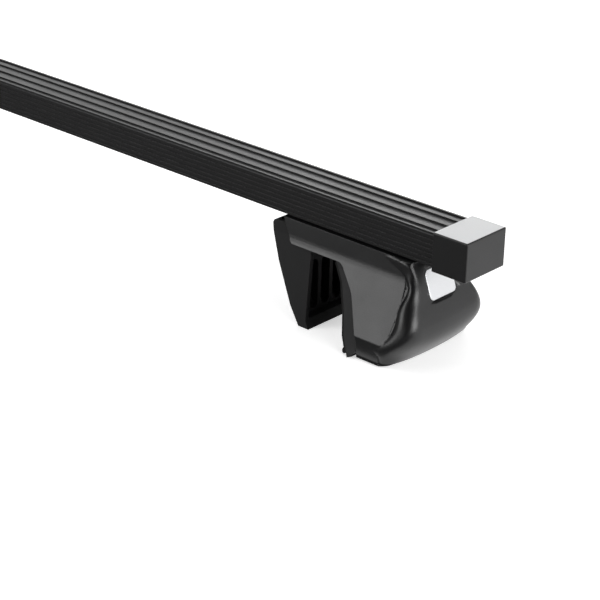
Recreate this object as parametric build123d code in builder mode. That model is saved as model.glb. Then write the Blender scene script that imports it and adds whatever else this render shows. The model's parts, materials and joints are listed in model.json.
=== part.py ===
from build123d import *
import math
import os

os.makedirs("parts", exist_ok=True)

# Whole crossbar
BAR_LENGTH = 1200.0
BAR_WIDTH = 33.6
BAR_HEIGHT = 22.0
FOOT_DROP = 63.2
RAIL_FROM_END = 100.0

# Steel tube and its ribbed jacket
TUBE_WALL = 1.5
TUBE_CORNER = 2.0
SLOT_WIDTH = 10.0
JACKET_SIDE = 1.1
JACKET_TOP = 1.0
JACKET_BOTTOM = 1.0
JACKET_CORNER = 1.2
JACKET_FIT = 0.05
SIDE_RIB = 0.6
SIDE_RIB_WIDTH = 1.5
SIDE_RIB_COUNT = 7
TOP_RIB = 1.0
TOP_RIB_WIDTH = 3.2
TOP_RIB_PITCH = 9.2
TOP_RIM_WIDTH = 1.2

# End caps
CAP_LENGTH = 25.0
CAP_SIDE = 1.7
CAP_LID = 1.4
CAP_END = 2.5
CAP_CLEAR = 0.1
CAP_EDGE = 1.0
SPIGOT_LENGTH = 18.0
SPIGOT_WALL = 2.0
SPIGOT_EDGE = 0.3

# Clearances between pieces
SLIDE_GAP = 0.3
SEAM = 0.15
SEAT = 0.05
RUNNING = 0.08

# How far a cutting shape runs past what it cuts
PAST = 5.0
THROUGH = 60.0

# Cover of the foot, heights above the plane the jaws stand on, distances outboard of the rail
COVER_WALL = 1.8
HIP_ROUND = 22.0
FOLD_ROUND = 3.0
PANEL_ROUND = 4.0
COVER_TOP_HALF = 19.1
HIP_HALF = 21.4
HIP_Z = 51.5
FOLD_HALF = 40.4
FOLD_Z = 14.2
BASE_HALF = 40.6
BASE_Z = 1.1
PANEL_END = -42.1
PANEL_LOW = 48.4
PANEL_LOW_END = -32.8
ARCH = [(9.5, PANEL_LOW), (24.0, 35.0), (37.6, 12.0), (38.7, BASE_Z)]
ARCH_ROUNDS = [9.0, 20.0, 10.0]
RIDGE_GROOVE = 0.8
RIDGE_STEP = 1.0
BELL_ROOT = 10.0
BELL_STEPS = 4

# Steel bracket inside the foot
BRACKET_THICK = 3.0
BRACKET_HALF = 13.5
BRACKET_END = -36.0
BRACKET_BEND = 5.0
BRACKET_LEG = 16.0

# Clamp screw, its nut and washer
CLAMP_Z = 53.6
CLAMP_DIAMETER = 6.0
CLAMP_LENGTH = 90.0
CLAMP_HEAD = 10.0
CLAMP_HEAD_THICK = 6.0
CLAMP_HEAD_X = -51.0
CLAMP_HEX = 5.0
CLAMP_HOLE = 6.8
CLAMP_HEAD_EDGE = 0.5
CLAMP_TIP_EDGE = 0.6
WASHER_DIAMETER = 12.0
WASHER_THICK = 1.6
NUT_FLATS = 10.0
NUT_THICK = 5.0

# Screws that hold the bracket to the bar
SADDLE_SCREW_AT = [-26.0, 0.0]
SADDLE_DIAMETER = 5.0
SADDLE_HEAD = 9.2
SADDLE_HEAD_THICK = 2.5
SADDLE_LENGTH = 10.0
SADDLE_HEX = 3.0
SADDLE_HEX_DEPTH = 1.5
SLOT_NUT_LENGTH = 14.0
SLOT_NUT_WIDTH = 18.0
SLOT_NUT_THICK = 3.0

# Screws that hold the outer jaw, the bracket and the cover together
JAW_SCREW_Z = 24.0
JAW_SCREW_SPREAD = 16.0
JAW_SCREW_DIAMETER = 4.0
JAW_SCREW_HEAD = 7.0
JAW_SCREW_HEAD_THICK = 2.6
JAW_SCREW_SINK = 6.0
JAW_SCREW_LENGTH = 18.0
POST_DIAMETER = 8.0

# Outer jaw and its rubber liner
LINER_THICK = 2.0
GAP_EDGE = [(2.0, 45.6), (10.8, 36.0), (19.3, 20.8), (24.2, 9.6), (29.6, 2.2)]
OUTER_TOP_HALF = 20.4
OUTER_HIP_HALF = 22.0
OUTER_HIP_Z = 43.6
OUTER_BASE_HALF = 43.3
OUTER_HEEL_Z = 5.4
OUTER_TOE = [(33.4, 0.0), (36.8, 1.4)]
OUTER_TOP_X = 5.6
LINER_INSET = 1.0
LINER_LIP = (29.8, 3.0)

# Inner jaw, which slides toward the rail
JAW_TOP = 58.6
JAW_BASE_HALF = 31.5
JAW_BACK = [(-52.5, JAW_TOP), (-50.4, 51.2), (-41.9, 34.5), (-26.3, 10.4), (-17.0, 0.0)]
JAW_FACE_TOP = -17.3
JAW_FACE_LOW = -12.0
JAW_RIM = -8.6
JAW_RIM_RISE = 4.0
JAW_WALL = 2.3
JAW_BACK_ROUND = 2.5
WELL_FLOOR = 21.0
WELL_STEP = 2.0
BOSS_LOW = 46.0
BOSS_WIDTH = 16.0
BOSS_LENGTH = 10.0
POCKET_FLOOR = -18.5
POCKET_LOW = 5.2
POCKET_TOP = 46.0
POCKET_SIDE = 2.8
GROOVE_FLOOR = -28.0
GROOVE_LOW = 6.5
GROOVE_TOP = 40.0
GROOVE_WIDTH = 7.6
GROOVE_PITCH = 10.7
GROOVE_COUNT = 6
GROOVE_HEEL = [(GROOVE_FLOOR, 17.5), (-20.0, GROOVE_LOW)]
GROOVE_SIDE = 0.6

# Badge plate on the sloping end face
BADGE_WIDTH = 24.0
BADGE_HEIGHT = 19.2
BADGE_THICK = 1.0
BADGE_CORNER = 3.0
BADGE_EDGE = 0.3
BADGE_RECESS = 0.7
BADGE_Z = 48.0
FACE_TOP = 62.5
FACE_SLOPE = 0.365

# Sizes that follow from the ones above
RAIL_X = BAR_LENGTH / 2 - RAIL_FROM_END
FOOT_TOP = FOOT_DROP - SLIDE_GAP
TUBE_WIDTH = BAR_WIDTH - 2 * (JACKET_SIDE + JACKET_FIT + SIDE_RIB)
TUBE_HEIGHT = BAR_HEIGHT - TOP_RIB - JACKET_TOP - JACKET_BOTTOM - 2 * JACKET_FIT
TUBE_BOTTOM = FOOT_DROP + JACKET_BOTTOM + JACKET_FIT
TUBE_MID = TUBE_BOTTOM + TUBE_HEIGHT / 2
TUBE_HALF_LENGTH = BAR_LENGTH / 2 - CAP_END - CAP_CLEAR
BAR_TOP = FOOT_DROP + BAR_HEIGHT
PLATE_MID = FOOT_TOP - BRACKET_THICK / 2

# Height and distance from the rail of the ridge where the side turns into the rounded end
RIDGE = [
    (BASE_Z, 56.1),
    (13.3, 56.5),
    (18.0, 59.0),
    (22.4, 61.0),
    (30.0, 61.4),
    (38.3, 61.3),
    (45.4, 60.6),
    (51.2, 59.3),
    (FOOT_TOP, 55.3),
]
FLARE = [
    (BASE_Z, BASE_HALF),
    (FOLD_Z, FOLD_HALF),
    (HIP_Z, HIP_HALF),
    (FOOT_TOP, COVER_TOP_HALF),
]

# Level sections of the rounded end: height, nose, bulge of the side, roundness power
BELL = [
    (BASE_Z, 63.7, 0.0, 1.0),
    (7.0, 70.5, 0.0, 0.85),
    (14.0, 75.5, 1.0, 0.75),
    (22.0, 77.5, 3.5, 0.6),
    (30.0, 76.0, 4.5, 0.5),
    (40.0, 71.5, 3.0, 0.45),
    (52.0, 66.8, 1.0, 0.4),
    (FOOT_TOP, 62.5, 0.0, 0.35),
]


def along(table, height):
    """Value read from a table of (height, value) rows, straight between rows."""
    low, high = table[0], table[-1]
    for first, second in zip(table, table[1:]):
        if first[0] <= height <= second[0]:
            low, high = first, second
    share = (height - low[0]) / (high[0] - low[0])
    return low[1] + share * (high[1] - low[1])


def shifted(points, distance):
    """A run of straight lines moved sideways to the left of its direction, with mitred corners."""
    normals = []
    for (x0, z0), (x1, z1) in zip(points, points[1:]):
        length = math.hypot(x1 - x0, z1 - z0)
        normals.append(((z0 - z1) / length, (x1 - x0) / length))
    moved = []
    for place, (x, z) in enumerate(points):
        before = normals[max(place - 1, 0)]
        after = normals[min(place, len(normals) - 1)]
        scale = distance / (1 + before[0] * after[0] + before[1] * after[1])
        moved.append((x + scale * (before[0] + after[0]), z + scale * (before[1] + after[1])))
    return moved


def side_plane():
    """Upright plane along the bar, measured outboard from the rail and up from the floor."""
    return Plane(origin=(RAIL_X, 0, 0), x_dir=(1, 0, 0), z_dir=(0, -1, 0))


def cross_plane(distance):
    """Upright plane across the bar at a distance outboard of the rail."""
    return Plane(origin=(RAIL_X + distance, 0, 0), x_dir=(0, 1, 0), z_dir=(1, 0, 0))


def level_plane(height):
    """Level plane at a height, measured outboard from the rail."""
    return Plane(origin=(RAIL_X, 0, height), x_dir=(1, 0, 0), z_dir=(0, 0, 1))


def mirrored_outline(half):
    """Closed outline from its right half, listed from top to bottom."""
    return half + [(-y, z) for y, z in reversed(half)]


def face_plane(height):
    """Plane of the sloping end face, its centre at a height."""
    distance = FACE_TOP + FACE_SLOPE * (FOOT_TOP - height)
    return Plane(
        origin=(RAIL_X + distance, 0, height),
        x_dir=(0, 1, 0),
        z_dir=(1, 0, FACE_SLOPE),
    )


def screw_plane(depth):
    """Plane square to the lower bracket leg, a depth behind the edge of the arch."""
    (x0, z0), (x1, z1) = ARCH[1], ARCH[2]
    share = (JAW_SCREW_Z - z0) / (z1 - z0)
    length = math.hypot(x1 - x0, z1 - z0)
    normal = ((z0 - z1) / length, (x1 - x0) / length)
    x = x0 + share * (x1 - x0) + depth * normal[0]
    z = JAW_SCREW_Z + depth * normal[1]
    return Plane(
        origin=(RAIL_X + x, 0, z),
        x_dir=(0, 1, 0),
        z_dir=(normal[0], 0, normal[1]),
    )


# Steel tube, open along its underside
with BuildPart() as bar_tube:
    with BuildSketch(Plane.YZ):
        with Locations((0, TUBE_MID)):
            RectangleRounded(TUBE_WIDTH, TUBE_HEIGHT, TUBE_CORNER)
            RectangleRounded(
                TUBE_WIDTH - 2 * TUBE_WALL,
                TUBE_HEIGHT - 2 * TUBE_WALL,
                TUBE_CORNER - TUBE_WALL,
                mode=Mode.SUBTRACT,
            )
        with Locations((0, TUBE_BOTTOM + TUBE_WALL / 2)):
            Rectangle(SLOT_WIDTH, 2 * TUBE_WALL, mode=Mode.SUBTRACT)
    extrude(amount=TUBE_HALF_LENGTH, both=True)

# Ribbed jacket round the tube, its top ribs trimmed where the end caps slide on
jacket_base = BAR_HEIGHT - TOP_RIB
side_rib_pitch = jacket_base / SIDE_RIB_COUNT
with BuildPart() as bar_jacket:
    with BuildSketch(Plane.YZ):
        with Locations((0, FOOT_DROP + jacket_base / 2)):
            RectangleRounded(BAR_WIDTH - 2 * SIDE_RIB, jacket_base, JACKET_CORNER)
            with GridLocations(0, side_rib_pitch, 1, SIDE_RIB_COUNT):
                Rectangle(BAR_WIDTH, SIDE_RIB_WIDTH)
        with Locations((0, BAR_TOP - TOP_RIB)):
            with GridLocations(TOP_RIB_PITCH, 0, 3, 1):
                Rectangle(TOP_RIB_WIDTH, 2 * TOP_RIB)
            with GridLocations(BAR_WIDTH - 2 * SIDE_RIB - TOP_RIM_WIDTH, 0, 2, 1):
                Rectangle(TOP_RIM_WIDTH, 2 * TOP_RIB)
        with Locations((0, TUBE_MID)):
            RectangleRounded(
                TUBE_WIDTH + 2 * JACKET_FIT,
                TUBE_HEIGHT + 2 * JACKET_FIT,
                TUBE_CORNER,
                mode=Mode.SUBTRACT,
            )
        with Locations((0, FOOT_DROP + JACKET_BOTTOM / 2)):
            Rectangle(SLOT_WIDTH, 2 * JACKET_BOTTOM, mode=Mode.SUBTRACT)
    extrude(amount=TUBE_HALF_LENGTH, both=True)
    with BuildSketch(Plane.XY.offset(BAR_TOP - TOP_RIB)):
        with GridLocations(BAR_LENGTH, 0, 2, 1):
            Rectangle(2 * (CAP_LENGTH + SLIDE_GAP), BAR_WIDTH)
    extrude(amount=2 * TOP_RIB, mode=Mode.SUBTRACT)

# End cap with a spigot that fits inside the tube
cap_width = BAR_WIDTH + 2 * (CAP_CLEAR + CAP_SIDE)
cap_height = BAR_HEIGHT + 2 * (CAP_CLEAR + CAP_LID)
bar_mid = FOOT_DROP + BAR_HEIGHT / 2
with BuildPart() as end_cap:
    with BuildSketch(Plane.YZ.offset(BAR_LENGTH / 2)):
        with Locations((0, bar_mid)):
            Rectangle(cap_width, cap_height)
    extrude(amount=-CAP_LENGTH)
    fillet(end_cap.edges().filter_by(Axis.X) + end_cap.faces().sort_by(Axis.X)[-1].edges(), CAP_EDGE)
    with BuildSketch(Plane.YZ.offset(BAR_LENGTH / 2 - CAP_LENGTH)):
        with Locations((0, bar_mid)):
            Rectangle(BAR_WIDTH + 2 * CAP_CLEAR, BAR_HEIGHT + 2 * CAP_CLEAR)
    extrude(amount=CAP_LENGTH - CAP_END, mode=Mode.SUBTRACT)
    with BuildSketch(Plane.YZ.offset(BAR_LENGTH / 2 - CAP_END)):
        with Locations((0, TUBE_MID)):
            RectangleRounded(
                TUBE_WIDTH - 2 * (TUBE_WALL + CAP_CLEAR),
                TUBE_HEIGHT - 2 * (TUBE_WALL + CAP_CLEAR),
                TUBE_CORNER - TUBE_WALL,
            )
            Rectangle(
                TUBE_WIDTH - 2 * (TUBE_WALL + CAP_CLEAR + SPIGOT_WALL),
                TUBE_HEIGHT - 2 * (TUBE_WALL + CAP_CLEAR + SPIGOT_WALL),
                mode=Mode.SUBTRACT,
            )
    extrude(amount=-SPIGOT_LENGTH)
    chamfer(end_cap.faces().sort_by(Axis.X)[0].edges(), SPIGOT_EDGE)

# Folded bracket: plate under the bar and a leg behind the outer jaw
leg_line = shifted(ARCH[:3], SEAM + BRACKET_THICK / 2)
leg_turn = along(leg_line[:2], BRACKET_LEG)
leg_face = BRACKET_LEG + BRACKET_THICK / 2
with BuildPart() as foot_bracket:
    with BuildSketch(side_plane()):
        with BuildLine():
            FilletPolyline(
                (BRACKET_END, PLATE_MID),
                (BRACKET_LEG, PLATE_MID),
                (BRACKET_LEG, leg_turn),
                leg_line[1],
                leg_line[2],
                radius=BRACKET_BEND,
            )
        trace(line_width=BRACKET_THICK)
    extrude(amount=BRACKET_HALF, both=True)
    with BuildSketch(cross_plane(BRACKET_LEG)):
        with Locations((0, CLAMP_Z)):
            Circle(CLAMP_HOLE / 2)
    extrude(amount=2 * BRACKET_THICK, both=True, mode=Mode.SUBTRACT)
    with BuildSketch(screw_plane(0)):
        with GridLocations(JAW_SCREW_SPREAD, 0, 2, 1):
            Circle(JAW_SCREW_DIAMETER / 2 + SEAM)
    extrude(amount=3 * BRACKET_THICK, both=True, mode=Mode.SUBTRACT)
    for screw_x in SADDLE_SCREW_AT:
        with BuildSketch(level_plane(FOOT_TOP - BRACKET_THICK)):
            with Locations((screw_x, 0)):
                Circle(SADDLE_DIAMETER / 2 + SEAM)
        extrude(amount=BRACKET_THICK, mode=Mode.SUBTRACT)
        with BuildSketch(level_plane(FOOT_TOP - BRACKET_THICK)):
            with Locations((screw_x, 0)):
                Circle(SADDLE_HEAD / 2 + SEAM)
        extrude(amount=SADDLE_HEAD_THICK, mode=Mode.SUBTRACT)


def flare_outline(inset, top, low):
    """Right half of the cover's cross outline, its wall taken off."""
    return mirrored_outline([
        (COVER_TOP_HALF - inset, top),
        (HIP_HALF - inset, HIP_Z),
        (FOLD_HALF - inset, FOLD_Z),
        (BASE_HALF - inset, low),
    ])


def flared_block(inset, top, low, start, end):
    """Solid of the flared cross outline between two distances from the rail."""
    with BuildPart() as block:
        with BuildSketch(cross_plane(start)) as section:
            Polygon(*flare_outline(inset, top, low))
            fillet(section.vertices().group_by(Axis.Y)[1], FOLD_ROUND)
            fillet(section.vertices().group_by(Axis.Y)[-2], HIP_ROUND)
        extrude(amount=end - start)
    return block.part


def bell_solid(inset, top, low):
    """Rounded outer end of the cover, lofted through level sections."""
    heights = [low] + [row[0] for row in BELL[1:-1]] + [top]
    with BuildPart() as bell:
        for height, (level, nose, bulge, power) in zip(heights, BELL):
            ridge = along(RIDGE, level)
            root = along(FLARE, level) - inset
            reach = nose - inset - ridge
            points = []
            for step in range(-BELL_STEPS, BELL_STEPS + 1):
                turn = math.pi / 2 * step / BELL_STEPS
                out = max(math.cos(turn), 0.0) ** power
                side = abs(math.sin(turn)) ** power * root + bulge * abs(math.sin(2 * turn))
                points.append((ridge + reach * out, math.copysign(side, turn)))
            with BuildSketch(level_plane(height)):
                with BuildLine():
                    Spline(*points)
                    Polyline(
                        points[-1],
                        (ridge - BELL_ROOT, root - RIDGE_STEP),
                        (ridge - BELL_ROOT, RIDGE_STEP - root),
                        points[0],
                    )
                make_face()
        loft()
    return bell.part


# Space inside the cover, with two posts left standing for the jaw screws
hollow_top = FOOT_TOP - COVER_WALL
hollow_low = BASE_Z - PAST
with BuildPart() as cover_hollow:
    add(flared_block(
        COVER_WALL, hollow_top, hollow_low, PANEL_END - PAST, RIDGE[-1][1] - COVER_WALL
    ))
    add(bell_solid(COVER_WALL, hollow_top, hollow_low))
    with BuildSketch(screw_plane(SEAM + BRACKET_THICK + SEAT)):
        with GridLocations(JAW_SCREW_SPREAD, 0, 2, 1):
            Circle(POST_DIAMETER / 2)
    extrude(amount=THROUGH, mode=Mode.SUBTRACT)

# Cover of the foot
ridge_edge = [(x - RIDGE_GROOVE, z) for z, x in RIDGE]
with BuildPart() as foot_cover:
    with BuildSketch(side_plane()) as outline:
        with BuildLine():
            Polyline(
                (ridge_edge[-1][0], FOOT_TOP),
                (PANEL_END, FOOT_TOP),
                (PANEL_LOW_END, PANEL_LOW),
                *ARCH,
                *ridge_edge[:4],
            )
            Spline(*ridge_edge[3:])
        make_face()
        fillet(outline.vertices().group_by(Axis.X)[1], PANEL_ROUND)
        for corner, radius in zip(ARCH, ARCH_ROUNDS):
            near = Vector(corner[0], corner[1], 0)
            fillet(outline.vertices().sort_by_distance(near)[0], radius)
    extrude(amount=2 * BASE_HALF, both=True)
    add(
        flared_block(0.0, FOOT_TOP, BASE_Z, PANEL_END - PAST, RIDGE[5][1] + PAST),
        mode=Mode.INTERSECT,
    )
    add(bell_solid(0.0, FOOT_TOP, BASE_Z))
    add(cover_hollow.part, mode=Mode.SUBTRACT)
    with BuildSketch(level_plane(FOOT_TOP)):
        with Locations(((PANEL_END - PAST + leg_face + SEAM) / 2, 0)):
            Rectangle(leg_face + SEAM - PANEL_END + PAST, 2 * (BRACKET_HALF + SEAM))
    extrude(amount=-BRACKET_THICK - SEAT, mode=Mode.SUBTRACT)
    with BuildSketch(face_plane(BADGE_Z).offset(-BADGE_RECESS)):
        RectangleRounded(BADGE_WIDTH + 2 * SEAM, BADGE_HEIGHT + 2 * SEAM, BADGE_CORNER)
    extrude(amount=PAST, mode=Mode.SUBTRACT)
    with BuildSketch(screw_plane(0)):
        with GridLocations(JAW_SCREW_SPREAD, 0, 2, 1):
            Circle(JAW_SCREW_DIAMETER / 2 + SEAT)
    extrude(amount=JAW_SCREW_LENGTH, mode=Mode.SUBTRACT)

# Bare badge plate
with BuildPart() as badge_plate:
    with BuildSketch(face_plane(BADGE_Z).offset(SEAT - BADGE_RECESS)):
        RectangleRounded(BADGE_WIDTH, BADGE_HEIGHT, BADGE_CORNER)
    extrude(amount=BADGE_THICK)
    fillet(badge_plate.faces().sort_by(Axis.X)[-1].edges(), BADGE_EDGE)

# Outer jaw in the arch of the cover
jaw_front = shifted(GAP_EDGE, LINER_THICK)
jaw_back = shifted(ARCH, -SEAM)
heel_x = along([(z, x) for x, z in reversed(jaw_back)], OUTER_HEEL_Z)


def outer_outline(inset):
    """Cross outline of the outer jaw, drawn in by an inset."""
    return mirrored_outline([
        (OUTER_TOP_HALF - inset, PANEL_LOW),
        (OUTER_HIP_HALF - inset, OUTER_HIP_Z),
        (OUTER_BASE_HALF - inset, 0.0),
    ])


with BuildPart() as outer_jaw:
    with BuildSketch(side_plane()) as outline:
        Polygon(
            *jaw_front,
            *OUTER_TOE,
            (heel_x, OUTER_HEEL_Z),
            *reversed(jaw_back[:3]),
            (OUTER_TOP_X, PANEL_LOW - SEAM),
        )
        for corner, radius in zip(ARCH[:3], ARCH_ROUNDS):
            near = Vector(corner[0], corner[1], 0)
            fillet(outline.vertices().sort_by_distance(near)[0], radius)
    extrude(amount=2 * BASE_HALF, both=True)
    with BuildSketch(cross_plane(0)):
        Polygon(*outer_outline(0))
    extrude(amount=THROUGH, mode=Mode.INTERSECT)
    with BuildSketch(screw_plane(0)):
        with GridLocations(JAW_SCREW_SPREAD, 0, 2, 1):
            Circle(JAW_SCREW_DIAMETER / 2 + SEAM)
    extrude(amount=JAW_SCREW_LENGTH, both=True, mode=Mode.SUBTRACT)
    with BuildSketch(screw_plane(-JAW_SCREW_SINK)):
        with GridLocations(JAW_SCREW_SPREAD, 0, 2, 1):
            Circle(JAW_SCREW_HEAD / 2 + SEAM)
    extrude(amount=-JAW_SCREW_LENGTH, mode=Mode.SUBTRACT)

# Rubber liner on the face of the outer jaw
liner_back = shifted(GAP_EDGE, LINER_THICK - SEAT)
with BuildPart() as outer_jaw_liner:
    with BuildSketch(side_plane()):
        Polygon(*GAP_EDGE, *reversed(liner_back))
        with Locations(LINER_LIP):
            Circle(LINER_THICK)
        Polygon(
            *jaw_front, OUTER_TOE[0], (heel_x, OUTER_HEEL_Z), jaw_back[1], mode=Mode.SUBTRACT
        )
    extrude(amount=2 * BASE_HALF, both=True)
    with BuildSketch(cross_plane(0)):
        Polygon(*outer_outline(LINER_INSET))
    extrude(amount=THROUGH, mode=Mode.INTERSECT)

# Screws through the outer jaw and the bracket into the posts of the cover
with BuildPart() as jaw_screws:
    with BuildSketch(screw_plane(-JAW_SCREW_SINK - SEAT)):
        with GridLocations(JAW_SCREW_SPREAD, 0, 2, 1):
            Circle(JAW_SCREW_HEAD / 2)
    extrude(amount=-JAW_SCREW_HEAD_THICK)
    with BuildSketch(screw_plane(-JAW_SCREW_SINK - SEAT)):
        with GridLocations(JAW_SCREW_SPREAD, 0, 2, 1):
            Circle(JAW_SCREW_DIAMETER / 2)
    extrude(amount=JAW_SCREW_LENGTH)

# Nuts in the slot under the bar
slot_nut_low = TUBE_BOTTOM + TUBE_WALL + SLIDE_GAP
with BuildPart() as slot_nuts:
    for screw_x in SADDLE_SCREW_AT:
        with BuildSketch(level_plane(FOOT_TOP + SEAT)):
            with Locations((screw_x, 0)):
                Rectangle(SLOT_NUT_LENGTH, SLOT_WIDTH - 2 * SLIDE_GAP)
        extrude(amount=slot_nut_low - FOOT_TOP - SEAT)
        with BuildSketch(level_plane(slot_nut_low)):
            with Locations((screw_x, 0)):
                Rectangle(SLOT_NUT_LENGTH, SLOT_NUT_WIDTH)
        extrude(amount=SLOT_NUT_THICK)
        with BuildSketch(level_plane(FOOT_TOP)):
            with Locations((screw_x, 0)):
                Circle(SADDLE_DIAMETER / 2 + SEAT)
        extrude(amount=SADDLE_LENGTH, mode=Mode.SUBTRACT)

# Screws that draw the bracket against the bar
head_plane = FOOT_TOP - BRACKET_THICK + SADDLE_HEAD_THICK - SEAT
with BuildPart() as saddle_screws:
    for screw_x in SADDLE_SCREW_AT:
        with BuildSketch(level_plane(head_plane)):
            with Locations((screw_x, 0)):
                Circle(SADDLE_HEAD / 2)
        extrude(amount=SEAT - SADDLE_HEAD_THICK)
        with BuildSketch(level_plane(head_plane)):
            with Locations((screw_x, 0)):
                Circle(SADDLE_DIAMETER / 2)
        extrude(amount=SADDLE_LENGTH - SADDLE_HEAD_THICK)
        with BuildSketch(level_plane(head_plane - SADDLE_HEAD_THICK)):
            with Locations((screw_x, 0)):
                RegularPolygon(SADDLE_HEX / 2, 6, major_radius=False)
        extrude(amount=SADDLE_HEX_DEPTH, mode=Mode.SUBTRACT)

# Nut behind the bracket leg
with BuildPart() as clamp_nut:
    with BuildSketch(cross_plane(leg_face + SEAT)):
        with Locations((0, CLAMP_Z)):
            RegularPolygon(NUT_FLATS / 2, 6, major_radius=False, rotation=30)
            Circle(CLAMP_DIAMETER / 2 + RUNNING, mode=Mode.SUBTRACT)
    extrude(amount=NUT_THICK)

# Clamp screw with a hexagon socket
screw_seat = CLAMP_HEAD_X + CLAMP_HEAD_THICK
with BuildPart() as clamp_screw:
    with BuildSketch(cross_plane(CLAMP_HEAD_X)):
        with Locations((0, CLAMP_Z)):
            Circle(CLAMP_HEAD / 2)
    extrude(amount=CLAMP_HEAD_THICK)
    with BuildSketch(cross_plane(screw_seat)):
        with Locations((0, CLAMP_Z)):
            Circle(CLAMP_DIAMETER / 2)
    extrude(amount=CLAMP_LENGTH)
    chamfer(clamp_screw.faces().sort_by(Axis.X)[-1].edges(), CLAMP_TIP_EDGE)
    chamfer(clamp_screw.faces().sort_by(Axis.X)[0].edges(), CLAMP_HEAD_EDGE)
    with BuildSketch(cross_plane(CLAMP_HEAD_X)):
        with Locations((0, CLAMP_Z)):
            RegularPolygon(CLAMP_HEX / 2, 6, major_radius=False)
    extrude(amount=CLAMP_HEAD_THICK / 2, mode=Mode.SUBTRACT)

# Washer under the head of the clamp screw
washer_face = screw_seat + RUNNING
with BuildPart() as clamp_washer:
    with BuildSketch(cross_plane(washer_face)):
        with Locations((0, CLAMP_Z)):
            Circle(WASHER_DIAMETER / 2)
            Circle(CLAMP_DIAMETER / 2 + SEAM + RUNNING, mode=Mode.SUBTRACT)
    extrude(amount=WASHER_THICK)

# Cutting shapes for the inner jaw
jaw_hip_half = HIP_HALF - COVER_WALL - SLIDE_GAP
jaw_top_half = COVER_TOP_HALF - COVER_WALL - SLIDE_GAP


def jaw_outline(inset):
    """Cross outline of the inner jaw, drawn in by an inset."""
    return mirrored_outline([
        (jaw_top_half - inset, FOOT_TOP),
        (jaw_hip_half - inset, HIP_Z),
        (JAW_BASE_HALF - inset, 0.0),
    ])


def jaw_block(points, inset):
    """Solid of a side outline, held inside the cross outline of the inner jaw."""
    with BuildPart() as block:
        with BuildSketch(side_plane()):
            Polygon(*points)
        extrude(amount=2 * BASE_HALF, both=True)
        with BuildSketch(cross_plane(0)):
            Polygon(*jaw_outline(inset))
        extrude(amount=-THROUGH, mode=Mode.INTERSECT)
    return block.part


jaw_inner_back = shifted(JAW_BACK, JAW_WALL)
rib_back = GROOVE_FLOOR - JAW_WALL
with BuildPart() as jaw_hollow:
    add(jaw_block([
        (jaw_inner_back[0][0], JAW_TOP + PAST),
        *jaw_inner_back[1:3],
        (rib_back - WELL_STEP, WELL_FLOOR),
        (rib_back, WELL_FLOOR),
        (rib_back, JAW_TOP + PAST),
    ], JAW_WALL))
    with BuildSketch(cross_plane(jaw_inner_back[0][0])):
        with Locations((0, (BOSS_LOW + JAW_TOP) / 2)):
            Rectangle(BOSS_WIDTH, JAW_TOP - BOSS_LOW)
    extrude(amount=BOSS_LENGTH, mode=Mode.SUBTRACT)

with BuildPart() as jaw_grooves:
    with BuildSketch(cross_plane(GROOVE_FLOOR)):
        with Locations((0, (GROOVE_LOW + GROOVE_TOP) / 2)):
            with GridLocations(GROOVE_PITCH, 0, GROOVE_COUNT, 1):
                SlotOverall(GROOVE_TOP - GROOVE_LOW, GROOVE_WIDTH, rotation=90)
    extrude(amount=-GROOVE_FLOOR)
    add(jaw_block([
        (GROOVE_FLOOR, GROOVE_TOP + PAST),
        *GROOVE_HEEL,
        (0.0, GROOVE_LOW),
        (0.0, GROOVE_TOP + PAST),
    ], POCKET_SIDE + GROOVE_SIDE), mode=Mode.INTERSECT)

# Inner jaw
with BuildPart() as inner_jaw:
    add(jaw_block([
        *JAW_BACK,
        (JAW_RIM, 0.0),
        (JAW_FACE_LOW, JAW_RIM_RISE),
        (JAW_FACE_TOP, POCKET_TOP),
        (JAW_FACE_TOP, JAW_TOP),
    ], 0.0))
    fillet(inner_jaw.edges().filter_by(Axis.Y).group_by(Axis.X)[0], JAW_BACK_ROUND)
    add(jaw_block([
        (POCKET_FLOOR, POCKET_TOP),
        (POCKET_FLOOR, POCKET_LOW),
        (0.0, POCKET_LOW),
        (0.0, POCKET_TOP),
    ], POCKET_SIDE), mode=Mode.SUBTRACT)
    add(jaw_grooves.part, mode=Mode.SUBTRACT)
    add(jaw_hollow.part, mode=Mode.SUBTRACT)
    with BuildSketch(cross_plane(screw_seat + RUNNING + WASHER_THICK + SEAT)):
        with Locations((0, CLAMP_Z)):
            Circle(WASHER_DIAMETER / 2 + SEAM)
    extrude(amount=-THROUGH, mode=Mode.SUBTRACT)
    with BuildSketch(cross_plane(screw_seat)):
        with Locations((0, CLAMP_Z)):
            Circle(CLAMP_HOLE / 2)
    extrude(amount=THROUGH, mode=Mode.SUBTRACT)

# One file for each piece, the left ones mirrored across the middle of the bar
bar_tube.part.label = "bar_tube"
export_step(bar_tube.part, "parts/bar_tube.step")
bar_jacket.part.label = "bar_jacket"
export_step(bar_jacket.part, "parts/bar_jacket.step")
mirrored_pieces = {
    "end_cap": end_cap.part,
    "foot_bracket": foot_bracket.part,
    "foot_cover": foot_cover.part,
    "badge_plate": badge_plate.part,
    "outer_jaw": outer_jaw.part,
    "outer_jaw_liner": outer_jaw_liner.part,
    "jaw_screws": jaw_screws.part,
    "slot_nuts": slot_nuts.part,
    "saddle_screws": saddle_screws.part,
    "clamp_nut": clamp_nut.part,
    "clamp_screw": clamp_screw.part,
    "clamp_washer": clamp_washer.part,
    "inner_jaw": inner_jaw.part,
}
for name, right_piece in mirrored_pieces.items():
    left_piece = mirror(right_piece, about=Plane.YZ)
    right_piece.label = f"{name}_right"
    left_piece.label = f"{name}_left"
    export_step(right_piece, f"parts/{name}_right.step")
    export_step(left_piece, f"parts/{name}_left.step")
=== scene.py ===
import json
import math

import bmesh
import bpy
from bpy.props import FloatProperty, FloatVectorProperty, PointerProperty, StringProperty
from mathutils import Matrix, Vector


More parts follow.
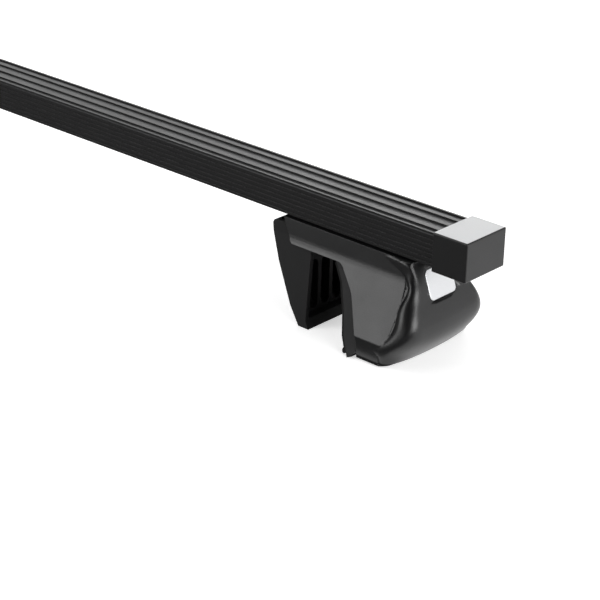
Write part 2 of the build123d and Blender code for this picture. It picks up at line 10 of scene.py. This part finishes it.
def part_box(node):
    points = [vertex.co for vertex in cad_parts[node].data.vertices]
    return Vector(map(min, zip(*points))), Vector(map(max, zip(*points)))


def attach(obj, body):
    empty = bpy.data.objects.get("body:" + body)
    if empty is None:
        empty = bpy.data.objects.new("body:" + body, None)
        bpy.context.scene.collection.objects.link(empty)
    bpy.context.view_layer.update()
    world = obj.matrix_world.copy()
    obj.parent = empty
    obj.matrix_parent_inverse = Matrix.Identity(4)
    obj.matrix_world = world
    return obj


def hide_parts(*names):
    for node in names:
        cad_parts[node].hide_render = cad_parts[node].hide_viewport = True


bl_info = {
    "name": "Roof Rack Crossbar",
    "version": (1, 0, 0),
    "blender": (4, 5, 0),
    "location": "View3D > Sidebar > Crossbar",
    "description": "Builds the looks of a clamp-on roof rack crossbar round its frame",
    "category": "Object",
}

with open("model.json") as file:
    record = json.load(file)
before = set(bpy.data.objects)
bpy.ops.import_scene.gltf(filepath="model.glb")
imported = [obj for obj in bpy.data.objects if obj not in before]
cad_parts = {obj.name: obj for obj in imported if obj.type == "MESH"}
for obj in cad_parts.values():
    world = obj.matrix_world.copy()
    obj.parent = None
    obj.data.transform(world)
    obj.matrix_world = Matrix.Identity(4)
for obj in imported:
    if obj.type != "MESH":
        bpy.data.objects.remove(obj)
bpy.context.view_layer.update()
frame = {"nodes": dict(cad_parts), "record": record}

SIDES = ("left", "right")
FASTENERS = (
    "jaw_screws", "slot_nuts", "saddle_screws", "clamp_nut", "clamp_screw", "clamp_washer",
)
MM = 0.001

# Where the photograph was taken from, in the frame of the bar, in metres
CAMERA_PLACE = (1.16415, -0.78468, 0.48998)
CAMERA_RIGHT = (0.7363, 0.6765, 0.0186)
CAMERA_UP = (-0.2977, 0.2992, 0.9066)
CAMERA_BACK = (0.6077, -0.6730, 0.4217)
# Lens and sensor in millimetres, clipping in metres
CAMERA_LENS = 108.46
CAMERA_SENSOR = 36.0
CAMERA_CLIP = (0.01, 20.0)

# Sockets of the colour kind of mix node
COLOUR_FACTOR, COLOUR_A, COLOUR_B, COLOUR_RESULT = 0, 6, 7, 2

# Merging of a copy: distances in millimetres, angles in degrees
MERGE_REACH = 0.002
FLAT_ANGLE = 0.4
SHARP_ANGLE = 22.0

# Plastic finishes: roughness, strength of the grain's bump, level of the gleam
JACKET_FINISH = (0.42, 0.12, 0.5)
CAP_FINISH = (0.42, 0.25, 0.5)
COVER_FINISH = (0.34, 0.6, 0.5)
NYLON_FINISH = (0.6, 0.3, 0.35)
RUBBER_FINISH = (0.75, 0.2, 0.3)
PLASTIC_IOR = 1.5
# The edges of an extrusion are half as round as those of a moulding
JACKET_EDGE = 0.5
EDGE_SAMPLES = 6
GRAIN_DETAIL = 2.0
GRAIN_BREAKUP = 0.6
GRAIN_LIFT = 1.3
GRAIN_HEIGHT = 0.08
CLOUD_SIZE = 18.0
CLOUD_DETAIL = 3.0

# Metal finishes: roughness, width of a streak in millimetres
TUBE_FINISH = (0.42, 0.6)
BADGE_FINISH = (0.3, 0.4)
BRACKET_FINISH = (0.45, 0.8)
ZINC_FINISH = (0.35, 0.5)
STREAK_DETAIL = 2.0
STREAK_LIFT = 1.1
STREAK_STRETCH = 8.0
ROUGHNESS_DRIFT = 0.05

# Painted sheen on the caps: their face that faces up and lies within this many millimetres of
# the top is coloured pale silver grey in place of the light it catches from above
CAP_SHEEN_FACING = 0.92
CAP_SHEEN_DEPTH = 0.5
CAP_SHEEN_ROUGHNESS = 0.45
CAP_SHEEN_LIFT = 1.06

# Floor: half its width, and from where to where its glow grows to full white, in metres
FLOOR_HALF = 6.0
FLOOR_FADE = (0.9, 1.6)
FLOOR_GLOW = 0.55
# What the floor gives back to the object
FLOOR_BOUNCE = (0.3, 0.3, 0.3, 1.0)
WHITE = (1.0, 1.0, 1.0, 1.0)
WORLD_LEVEL = 0.02

LIGHT_AIM = (0.53, 0.0, 0.05)
# Softboxes: place and size in metres, power in watts
SOFTBOXES = {
    "Top softbox": ((0.3, 0.35, 1.3), (1.6, 1.2), 4.0),
    "Back softbox": ((-0.673, 1.333, 0.885), (2.0, 1.2), 13.0),
    "Low back strip": ((0.05, 1.442, 0.371), (1.6, 0.5), 7.0),
    "Front left softbox": ((-0.263, -0.949, 0.460), (0.8, 0.5), 5.6),
    "Upper left softbox": ((-0.6, -0.75, 1.27), (0.5, 0.4), 5.0),
    "End softbox": ((1.9, 0.1, 0.5), (1.0, 0.8), 11.0),
    "Front fill": ((0.46, -1.33, 0.22), (0.8, 0.4), 1.3),
    "Right softbox": ((1.67, -0.207, 0.361), (1.0, 0.6), 6.5),
    "Right back softbox": ((1.398, 0.959, 0.180), (1.0, 0.6), 2.1),
}
# White card that lies on the floor under the rounded end and shines up
CARD_PLACE = (0.73, 0.1275, 0.003)
CARD_SIZE = (0.40, 0.345)
CARD_POWER = 0.43


def linear(code):
    """Linear colour, with alpha, from an sRGB hex code such as 1a1a1b."""
    values = []
    for place in range(0, 6, 2):
        share = int(code[place:place + 2], 16) / 255
        if share <= 0.04045:
            values.append(share / 12.92)
        else:
            values.append(((share + 0.055) / 1.055) ** 2.4)
    return (*values, 1.0)


def lighter(colour, times):
    """A colour multiplied, its alpha kept."""
    return (*(min(1.0, part * times) for part in colour[:3]), 1.0)


def add_node(tree, kind, inputs=None, **settings):
    """Adds a node, sets it, and fills or links its inputs."""
    node = tree.nodes.new(kind)
    for name, value in settings.items():
        setattr(node, name, value)
    for key, value in (inputs or {}).items():
        if isinstance(value, bpy.types.NodeSocket):
            tree.links.new(value, node.inputs[key])
        else:
            node.inputs[key].default_value = value
    return node


def new_material(name):
    """An empty node material and its tree."""
    material = bpy.data.materials.new(name)
    material.use_nodes = True
    material.node_tree.nodes.clear()
    return material, material.node_tree


def close_material(tree, shader):
    """Links a shader's first output to the material output."""
    add_node(tree, "ShaderNodeOutputMaterial", {"Surface": shader.outputs[0]})


def drifting(tree, pattern, roughness):
    """A roughness that drifts a little with a pattern."""
    return add_node(tree, "ShaderNodeMapRange", {
        "Value": pattern.outputs["Fac"],
        "To Min": roughness - ROUGHNESS_DRIFT,
        "To Max": roughness + ROUGHNESS_DRIFT,
    }).outputs["Result"]


def speckled(tree, pattern, colour, lift):
    """A colour that is lighter where a pattern is high."""
    return add_node(tree, "ShaderNodeMix", {
        COLOUR_FACTOR: pattern.outputs["Fac"],
        COLOUR_A: linear(colour),
        COLOUR_B: lighter(linear(colour), lift),
    }, data_type="RGBA").outputs[COLOUR_RESULT]


def plastic_shader(tree, colour, finish, grain, edge):
    """Black plastic whose fine grain breaks its highlights up, with softened edges."""
    roughness, bump_strength, gleam = finish
    place = add_node(tree, "ShaderNodeTexCoord").outputs["Object"]
    grains = add_node(tree, "ShaderNodeTexNoise", {
        "Vector": place, "Scale": 1 / (grain * MM), "Detail": GRAIN_DETAIL,
        "Roughness": GRAIN_BREAKUP,
    })
    clouds = add_node(tree, "ShaderNodeTexNoise", {
        "Vector": place, "Scale": 1 / (CLOUD_SIZE * MM), "Detail": CLOUD_DETAIL,
    })
    rounded = add_node(tree, "ShaderNodeBevel", {"Radius": edge * MM}, samples=EDGE_SAMPLES)
    bump = add_node(tree, "ShaderNodeBump", {
        "Height": grains.outputs["Fac"], "Strength": bump_strength,
        "Distance": GRAIN_HEIGHT * MM, "Normal": rounded.outputs["Normal"],
    })
    return add_node(tree, "ShaderNodeBsdfPrincipled", {
        "Base Color": speckled(tree, grains, colour, GRAIN_LIFT),
        "Roughness": drifting(tree, clouds, roughness),
        "Normal": bump.outputs["Normal"],
        "IOR": PLASTIC_IOR,
        "Specular IOR Level": gleam,
    })


def moulded_plastic(name, colour, finish, grain, edge):
    """A material of one grained plastic."""
    material, tree = new_material(name)
    close_material(tree, plastic_shader(tree, colour, finish, grain, edge))
    return material


def plated_metal(name, colour, finish):
    """Rolled, plated or brushed metal whose fine streaks run along the bar."""
    roughness, streak = finish
    material, tree = new_material(name)
    place = add_node(tree, "ShaderNodeTexCoord").outputs["Object"]
    drawn = add_node(tree, "ShaderNodeMapping", {
        "Vector": place, "Scale": (1 / STREAK_STRETCH, 1.0, 1.0),
    })
    streaks = add_node(tree, "ShaderNodeTexNoise", {
        "Vector": drawn.outputs["Vector"], "Scale": 1 / (streak * MM), "Detail": STREAK_DETAIL,
    })
    close_material(tree, add_node(tree, "ShaderNodeBsdfPrincipled", {
        "Base Color": speckled(tree, streaks, colour, STREAK_LIFT),
        "Roughness": drifting(tree, streaks, roughness),
        "Metallic": 1.0,
    }))
    return material


def cap_material(settings):
    """Moulded cap plastic whose top face carries a painted sheen: pale silver grey in place of
    the light it catches from above.
    """
    material, tree = new_material("Moulded cap plastic, painted sheen on top")
    dark = plastic_shader(tree, settings.cap_colour, CAP_FINISH, settings.grain, settings.edge)
    facing = add_node(tree, "ShaderNodeNewGeometry").outputs["Normal"]
    upward = add_node(tree, "ShaderNodeSeparateXYZ", {"Vector": facing}).outputs["Z"]
    place = add_node(tree, "ShaderNodeTexCoord").outputs["Object"]
    height = add_node(tree, "ShaderNodeSeparateXYZ", {"Vector": place}).outputs["Z"]
    # Mask of the painted sheen: faces that point up and lie at the top of the cap
    level = add_node(
        tree, "ShaderNodeMath", {0: upward, 1: CAP_SHEEN_FACING}, operation="GREATER_THAN"
    )
    high = add_node(tree, "ShaderNodeMath", {
        0: height, 1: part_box("end_cap_right")[1][2] - CAP_SHEEN_DEPTH * MM,
    }, operation="GREATER_THAN")
    sheen_mask = add_node(tree, "ShaderNodeMath", {
        0: level.outputs[0], 1: high.outputs[0],
    }, operation="MULTIPLY")
    speckle = add_node(tree, "ShaderNodeTexNoise", {
        "Vector": place, "Scale": 1 / (settings.grain * MM), "Detail": 1.0,
    })
    # Painted sheen: a pale silver grey shader on that top face stands in for the light it
    # catches from above
    pale = add_node(tree, "ShaderNodeBsdfPrincipled", {
        "Base Color": speckled(tree, speckle, settings.cap_sheen_colour, CAP_SHEEN_LIFT),
        "Roughness": CAP_SHEEN_ROUGHNESS,
    })
    close_material(tree, add_node(tree, "ShaderNodeMixShader", {
        0: sheen_mask.outputs[0], 1: dark.outputs[0], 2: pale.outputs[0],
    }))
    return material


def dress(node, material):
    """Gives a frame node its finish and leaves its shape alone."""
    piece = frame["nodes"][node]
    piece.data.materials.clear()
    piece.data.materials.append(material)


def body_of_node(node):
    """Name of the body that a frame node rides on."""
    for body, names in frame["record"]["behaviour"]["bodies"].items():
        if node in names:
            return body
    raise RuntimeError(f"{node} is on no body")


def finished_copy(node, material):
    """A merged copy of a frame node with even shading, shown in its place."""
    source = frame["nodes"][node]
    mesh = bpy.data.meshes.new(f"{node}_finished")
    shape = bmesh.new()
    shape.from_mesh(source.data)
    bmesh.ops.remove_doubles(shape, verts=shape.verts, dist=MERGE_REACH * MM)
    bmesh.ops.dissolve_limit(
        shape, angle_limit=math.radians(FLAT_ANGLE), verts=shape.verts, edges=shape.edges
    )
    for face in shape.faces:
        face.smooth = True
        face.material_index = 0
    shape.to_mesh(mesh)
    shape.free()
    mesh.materials.append(material)
    piece = bpy.data.objects.new(f"{node}_finished", mesh)
    bpy.context.scene.collection.objects.link(piece)
    mesh.set_sharp_from_angle(angle=math.radians(SHARP_ANGLE))
    shading = piece.modifiers.new("Even shading", "WEIGHTED_NORMAL")
    shading.keep_sharp = True
    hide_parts(node)
    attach(piece, body_of_node(node))


class CrossbarSettings(bpy.types.PropertyGroup):
    """Colours and finishes that a user may change."""

    jacket_colour: StringProperty(
        name="Jacket colour", default="0b0b0c",
        description="Extruded jacket round the tube, sRGB hex",
    )
    cover_colour: StringProperty(
        name="Foot colour", default="0b0b0c", description="Moulded covers and jaws, sRGB hex"
    )
    cap_colour: StringProperty(
        name="Cap colour", default="0b0b0c", description="Sides and end of the caps, sRGB hex"
    )
    # Painted sheen: the pale grey that the upward-facing cap tops are coloured, in place of the
    # light they catch from above
    cap_sheen_colour: StringProperty(
        name="Cap top painted sheen colour", default="d2d3d4", description="Painted sheen on the cap tops, sRGB hex"
    )
    badge_colour: StringProperty(
        name="Badge colour", default="dcdddf", description="Bare badge plates, sRGB hex"
    )
    rubber_colour: StringProperty(
        name="Rubber colour", default="0c0c0c", description="Liners of the outer jaws, sRGB hex"
    )
    zinc_colour: StringProperty(
        name="Zinc colour", default="b9bbbe",
        description="Plated screws, nuts and washers, sRGB hex",
    )
    tube_colour: StringProperty(
        name="Tube colour", default="8d9094", description="Tube inside the jacket, sRGB hex"
    )
    bracket_colour: StringProperty(
        name="Bracket colour", default="2b2b2d", description="Brackets of the feet, sRGB hex"
    )
    grain: FloatProperty(
        name="Grain size", default=0.7, min=0.1,
        description="Size of the etched grain in millimetres",
    )
    edge: FloatProperty(
        name="Edge rounding", default=0.35, min=0.0,
        description="Radius of moulded edges in millimetres",
    )
    backdrop_colour: FloatVectorProperty(
        name="Backdrop colour", default=(0.9, 0.9, 0.9), min=0.0, max=1.0,
        description="Colour of the floor", subtype="COLOR", size=3,
    )


class CROSSBAR_OT_bar(bpy.types.Operator):
    """Finishes the steel tube and its ribbed jacket"""

    bl_idname = "crossbar.bar"
    bl_label = "Bar"

    def execute(self, context):
        settings = context.scene.crossbar
        # Galvanised sheet steel: a dull, faintly streaked grey seen only inside the slot
        dress("bar_tube", plated_metal(
            "Galvanised tube steel", settings.tube_colour, TUBE_FINISH
        ))
        # Extruded PVC: satin black whose flat lands take a broad soft sheen
        finished_copy("bar_jacket", moulded_plastic(
            "Extruded jacket PVC", settings.jacket_colour, JACKET_FINISH, settings.grain,
            settings.edge * JACKET_EDGE,
        ))
        return {"FINISHED"}


class CROSSBAR_OT_end_caps(bpy.types.Operator):
    """Finishes the caps that close both ends of the bar"""

    bl_idname = "crossbar.end_caps"
    bl_label = "End caps"

    def execute(self, context):
        # Moulded ABS: satin black sides under a top face with a painted sheen, pale silver grey
        # in place of the light from above
        material = cap_material(context.scene.crossbar)
        for side in SIDES:
            finished_copy(f"end_cap_{side}", material)
        return {"FINISHED"}


class CROSSBAR_OT_feet(bpy.types.Operator):
    """Finishes the covers of the feet, their brackets and their bare badge plates"""

    bl_idname = "crossbar.feet"
    bl_label = "Feet"

    def execute(self, context):
        settings = context.scene.crossbar
        # Injection moulded ABS with an etched grain: black with a soft broken sheen
        cover = moulded_plastic(
            "Etched moulded ABS", settings.cover_colour, COVER_FINISH, settings.grain,
            settings.edge,
        )
        # Satin anodised aluminium: a pale plate that stays bright from every side
        badge = plated_metal(
            "Satin anodised aluminium", settings.badge_colour, BADGE_FINISH
        )
        # Black passivated steel: dark with a slight metallic gleam
        bracket = plated_metal(
            "Black passivated steel", settings.bracket_colour, BRACKET_FINISH
        )
        for side in SIDES:
            finished_copy(f"foot_cover_{side}", cover)
            finished_copy(f"badge_plate_{side}", badge)
            dress(f"foot_bracket_{side}", bracket)
        return {"FINISHED"}


class CROSSBAR_OT_jaws(bpy.types.Operator):
    """Finishes the inner and outer jaws and the rubber liners"""

    bl_idname = "crossbar.jaws"
    bl_label = "Jaws"

    def execute(self, context):
        settings = context.scene.crossbar
        # Glass filled nylon: a touch duller than the cover, with the same etched grain
        nylon = moulded_plastic(
            "Glass filled nylon", settings.cover_colour, NYLON_FINISH, settings.grain,
            settings.edge,
        )
        # Moulded EPDM rubber: deep matte black with almost no highlight
        rubber = moulded_plastic(
            "Moulded EPDM rubber", settings.rubber_colour, RUBBER_FINISH, settings.grain,
            settings.edge,
        )
        for side in SIDES:
            finished_copy(f"inner_jaw_{side}", nylon)
            finished_copy(f"outer_jaw_{side}", nylon)
            finished_copy(f"outer_jaw_liner_{side}", rubber)
        return {"FINISHED"}


class CROSSBAR_OT_fasteners(bpy.types.Operator):
    """Finishes the screws, nuts and washers"""

    bl_idname = "crossbar.fasteners"
    bl_label = "Fasteners"

    def execute(self, context):
        # Zinc plated steel: bright grey with a slight grain from the plating bath
        zinc = plated_metal(
            "Zinc plated steel", context.scene.crossbar.zinc_colour, ZINC_FINISH
        )
        for side in SIDES:
            for name in FASTENERS:
                dress(f"{name}_{side}", zinc)
        return {"FINISHED"}


def floor_material(colour):
    """White paper: its own glow, seen by the camera only, keeps it white round the shadow."""
    material, tree = new_material("White studio paper")
    seen = add_node(tree, "ShaderNodeLightPath").outputs["Is Camera Ray"]
    place = add_node(tree, "ShaderNodeTexCoord").outputs["Object"]
    away = add_node(tree, "ShaderNodeVectorMath", {0: place}, operation="LENGTH")
    level = add_node(tree, "ShaderNodeMapRange", {
        "Value": away.outputs["Value"], "From Min": FLOOR_FADE[0], "From Max": FLOOR_FADE[1],
        "To Min": FLOOR_GLOW, "To Max": 1.0,
    })
    share = add_node(tree, "ShaderNodeMath", {
        0: seen, 1: level.outputs["Result"],
    }, operation="MULTIPLY")
    glow = add_node(tree, "ShaderNodeEmission", {"Strength": share.outputs[0]})
    tone = add_node(tree, "ShaderNodeMix", {
        COLOUR_FACTOR: seen, COLOUR_A: FLOOR_BOUNCE, COLOUR_B: (*colour, 1.0),
    }, data_type="RGBA")
    matte = add_node(tree, "ShaderNodeBsdfDiffuse", {"Color": tone.outputs[COLOUR_RESULT]})
    close_material(tree, add_node(tree, "ShaderNodeAddShader", {
        0: glow.outputs[0], 1: matte.outputs[0],
    }))
    return material


def soft_light(name, place, aim, size, power):
    """A rectangular area light at a place, turned toward a point."""
    data = bpy.data.lights.new(name, "AREA")
    data.shape = "RECTANGLE"
    data.size, data.size_y = size
    data.energy = power
    light = bpy.data.objects.new(name, data)
    bpy.context.scene.collection.objects.link(light)
    light.location = place
    toward = Vector(aim) - Vector(place)
    light.rotation_euler = toward.to_track_quat("-Z", "Y").to_euler()
    return light


class CROSSBAR_OT_stage(bpy.types.Operator):
    """Lays out the floor, the world, the lights and the camera"""

    bl_idname = "crossbar.stage"
    bl_label = "Stage"

    def execute(self, context):
        scene = context.scene
        shape = bmesh.new()
        bmesh.ops.create_grid(shape, x_segments=1, y_segments=1, size=FLOOR_HALF)
        mesh = bpy.data.meshes.new("floor")
        shape.to_mesh(mesh)
        shape.free()
        mesh.materials.append(floor_material(scene.crossbar.backdrop_colour))
        floor = bpy.data.objects.new("floor", mesh)
        scene.collection.objects.link(floor)

        world = bpy.data.worlds.new("Studio")
        scene.world = world
        world.use_nodes = True
        tree = world.node_tree
        tree.nodes.clear()
        # White to the eye, a faint even light for everything else
        rays = add_node(tree, "ShaderNodeLightPath")
        level = add_node(tree, "ShaderNodeMapRange", {
            "Value": rays.outputs["Is Camera Ray"], "To Min": WORLD_LEVEL, "To Max": 1.0,
        })
        sky = add_node(tree, "ShaderNodeBackground", {
            "Color": WHITE, "Strength": level.outputs["Result"],
        })
        add_node(tree, "ShaderNodeOutputWorld", {"Surface": sky.outputs[0]})

        for name, (place, size, power) in SOFTBOXES.items():
            soft_light(name, place, LIGHT_AIM, size, power)
        above = Vector(CARD_PLACE) + Vector((0.0, 0.0, 1.0))
        card = soft_light("Floor card", CARD_PLACE, above, CARD_SIZE, CARD_POWER)
        card.visible_camera = False

        camera_data = bpy.data.cameras.new("Camera")
        camera_data.lens = CAMERA_LENS
        camera_data.sensor_width = CAMERA_SENSOR
        camera_data.clip_start, camera_data.clip_end = CAMERA_CLIP
        camera = bpy.data.objects.new("Camera", camera_data)
        scene.collection.objects.link(camera)
        turn = Matrix((CAMERA_RIGHT, CAMERA_UP, CAMERA_BACK)).transposed()
        camera.matrix_world = Matrix.Translation(CAMERA_PLACE) @ turn.to_4x4()
        scene.camera = camera
        scene.view_settings.view_transform = "Standard"
        return {"FINISHED"}


class CROSSBAR_PT_panel(bpy.types.Panel):
    """Lists the settings and the operators of the crossbar"""

    bl_idname = "CROSSBAR_PT_panel"
    bl_label = "Crossbar"
    bl_space_type = "VIEW_3D"
    bl_region_type = "UI"
    bl_category = "Crossbar"

    def draw(self, context):
        settings = context.scene.crossbar
        for name in CrossbarSettings.__annotations__:
            self.layout.prop(settings, name)
        for operator in OPERATORS:
            self.layout.operator(operator.bl_idname)


OPERATORS = (
    CROSSBAR_OT_bar,
    CROSSBAR_OT_end_caps,
    CROSSBAR_OT_feet,
    CROSSBAR_OT_jaws,
    CROSSBAR_OT_fasteners,
    CROSSBAR_OT_stage,
)
CLASSES = (CrossbarSettings, *OPERATORS, CROSSBAR_PT_panel)


def register():
    """Adds the classes and the settings to Blender."""
    for kind in CLASSES:
        bpy.utils.register_class(kind)
    bpy.types.Scene.crossbar = PointerProperty(type=CrossbarSettings)


def unregister():
    """Takes the classes and the settings out again."""
    del bpy.types.Scene.crossbar
    for kind in reversed(CLASSES):
        bpy.utils.unregister_class(kind)


def main():
    """Builds every piece and the stage."""
    register()
    bpy.ops.crossbar.bar()
    bpy.ops.crossbar.end_caps()
    bpy.ops.crossbar.feet()
    bpy.ops.crossbar.jaws()
    bpy.ops.crossbar.fasteners()
    bpy.ops.crossbar.stage()
    bpy.context.view_layer.update()


if __name__ == "__main__":
    main()
